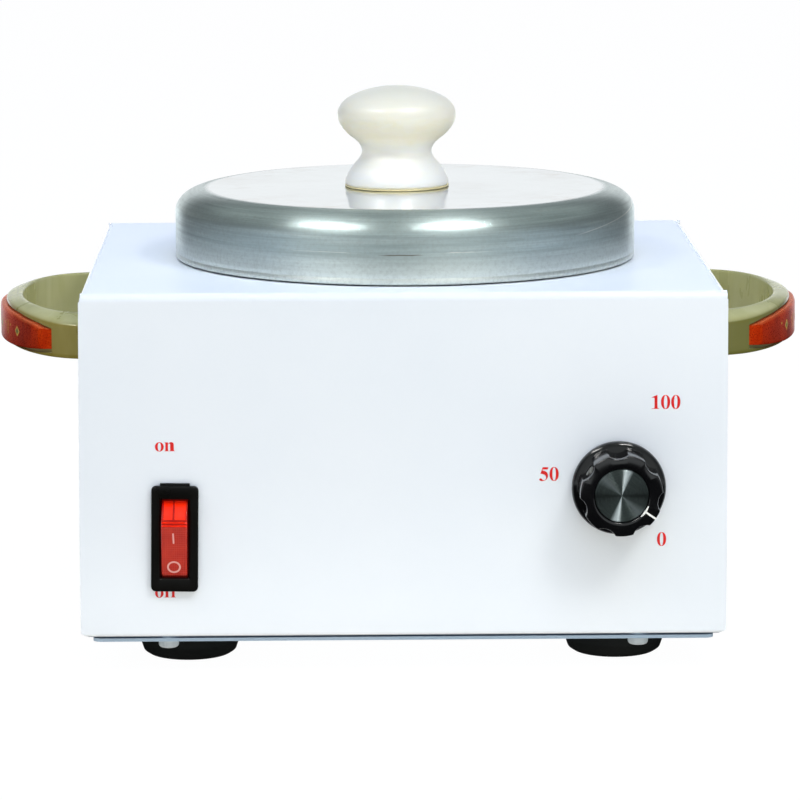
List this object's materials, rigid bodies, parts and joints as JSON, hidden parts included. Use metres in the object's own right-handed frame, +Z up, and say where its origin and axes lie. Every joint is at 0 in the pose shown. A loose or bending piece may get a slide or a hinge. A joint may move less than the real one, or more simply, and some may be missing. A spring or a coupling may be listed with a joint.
{
  "type": "single-pot wax warmer",
  "caption": "Wax warmer: steel casing on rubber feet with a heated well, lift-out pot and lid, side handles, lit rocker switch, heat knob and rear power inlet.",
  "frame": {"origin": "on the surface under the rubber feet, below the centre of the whole object's outline (the casing's own centre is 5.9 mm behind it, because the knob stands further out than the inlet)", "axes": "+Z up, +X to the right seen from the front, -Y towards the user, where the switch and knob are"},
  "size_m": [0.2464, 0.1858, 0.1663],
  "materials": {
    "white_paint": "gloss",
    "white_paint_plate": "gloss",
    "black_rubber": "matt",
    "zinc_steel": "plated",
    "olive_plastic": "gloss",
    "copper_red": "gloss, metallic",
    "well_aluminium": "satin",
    "band_steel": "satin",
    "ceramic_white": "matt",
    "glass_wool": "matt fibre",
    "black_phenolic": "matt",
    "pot_aluminium": "satin",
    "lid_aluminium": "brushed and polished",
    "pearl_plastic": "pearly gloss",
    "brass_trim": "polished",
    "black_plastic": "gloss",
    "spun_aluminium": "spun",
    "tinned_brass": "plated",
    "circuit_board": "matt",
    "film_yellow": "gloss",
    "switch_black": "satin",
    "lamp_glass": "clear",
    "rocker_red": "translucent gloss",
    "inlet_black": "satin",
    "wire_brown": "matt",
    "wire_green": "matt"
  },
  "bodies": {
    "casing": {"band_nut": "zinc_steel", "band_screw": "zinc_steel", "bottom_plate": "white_paint_plate", "bridge_nuts": "zinc_steel", "bridge_screws": "zinc_steel", "capacitor": "film_yellow", "cover": "white_paint", "earth_nut": "zinc_steel", "earth_screw": "zinc_steel", "foot_nuts": "zinc_steel", "foot_screws": "zinc_steel", "foot_washers": "zinc_steel", "handle_inlay_left": "copper_red", "handle_inlay_right": "copper_red", "handle_left": "olive_plastic", "handle_right": "olive_plastic", "handle_screws": "zinc_steel", "heat_sink": "well_aluminium", "heater_band": "band_steel", "heater_terminal": "ceramic_white", "heating_well": "well_aluminium", "inlet_nuts": "zinc_steel", "inlet_pins": "tinned_brass", "inlet_screws": "zinc_steel", "insulation": "glass_wool", "plate_nuts": "zinc_steel", "plate_screws": "zinc_steel", "power_inlet": "inlet_black", "regulator_board": "circuit_board", "regulator_body": "zinc_steel", "regulator_lugs": "tinned_brass", "regulator_nut": "zinc_steel", "regulator_washer": "zinc_steel", "rubber_feet": "black_rubber", "switch_housing": "switch_black", "switch_lamp": "lamp_glass", "switch_terminals": "tinned_brass", "thermal_cutout": "black_phenolic", "triac": "black_phenolic", "well_bridge": "zinc_steel", "wire_earth": "wire_green", "wire_live": "wire_brown"},
    "pot_body": {"pot": "pot_aluminium"},
    "lid_body": {"lid": "lid_aluminium", "lid_knob": "pearl_plastic", "lid_knob_ring": "brass_trim", "lid_knob_washer": "zinc_steel", "lid_knob_screw": "zinc_steel"},
    "knob_body": {"control_knob": "black_plastic", "knob_insert": "spun_aluminium", "knob_set_screw": "zinc_steel", "regulator_shaft": "zinc_steel"},
    "rocker_body": {"switch_rocker": "rocker_red"}
  },
  "joints": [
    {"name": "pot_lift", "type": "slide", "parent": "casing", "child": "pot_body", "axis": [0, 0, 1], "range_m": [0, 0.11]},
    {"name": "lid_lift", "type": "slide", "parent": "pot_body", "child": "lid_body", "axis": [0, 0, 1], "range_m": [0, 0.06]},
    {"name": "knob_turn", "type": "hinge", "parent": "casing", "child": "knob_body", "pos_m": [0.063, -0.0781, 0.0556], "axis": [0, 1, 0], "range_deg": [0, 270]},
    {"name": "rocker_tilt", "type": "hinge", "parent": "casing", "child": "rocker_body", "pos_m": [-0.0671, -0.0724, 0.0411], "axis": [-1, 0, 0], "range_deg": [0, 38]}
  ]
}
